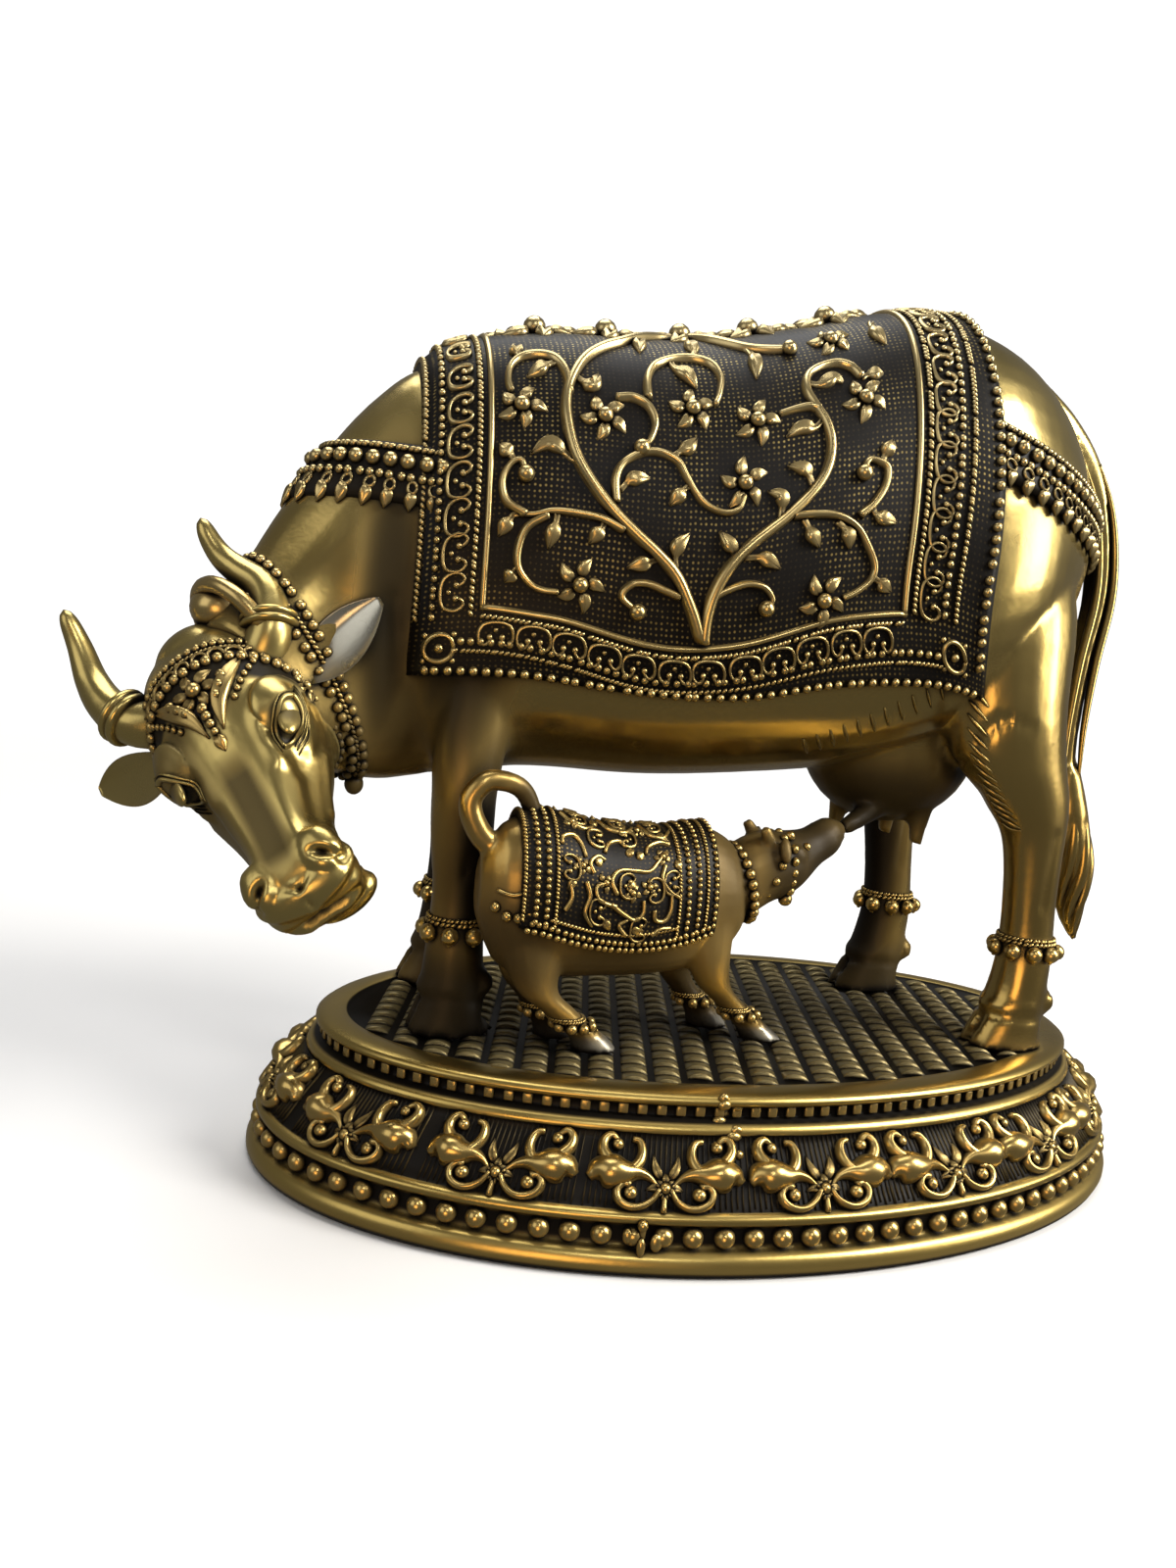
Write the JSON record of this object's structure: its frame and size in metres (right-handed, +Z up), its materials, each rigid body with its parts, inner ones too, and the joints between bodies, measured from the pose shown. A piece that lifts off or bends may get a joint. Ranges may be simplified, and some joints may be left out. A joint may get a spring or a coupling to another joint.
{
  "type": "cow and calf statue",
  "caption": "Brass cow in festival dress turning its head down to a suckling calf, both standing on an oval moulded plinth with scrolls and beads.",
  "frame": {"origin": "centre of the plinth's underside", "axes": "+X along the plinth from the cow's head to her rump, +Y from the near flank to the far flank, +Z up"},
  "size_m": [0.1796, 0.0916, 0.1398],
  "materials": {
    "plinth": "antique, black in the recesses",
    "cow": "polished antique, black in the recesses",
    "calf": "polished antique, black in the recesses"
  },
  "bodies": {
    "root": {"plinth": "plinth", "cow": "cow", "calf": "calf"}
  },
  "joints": []
}
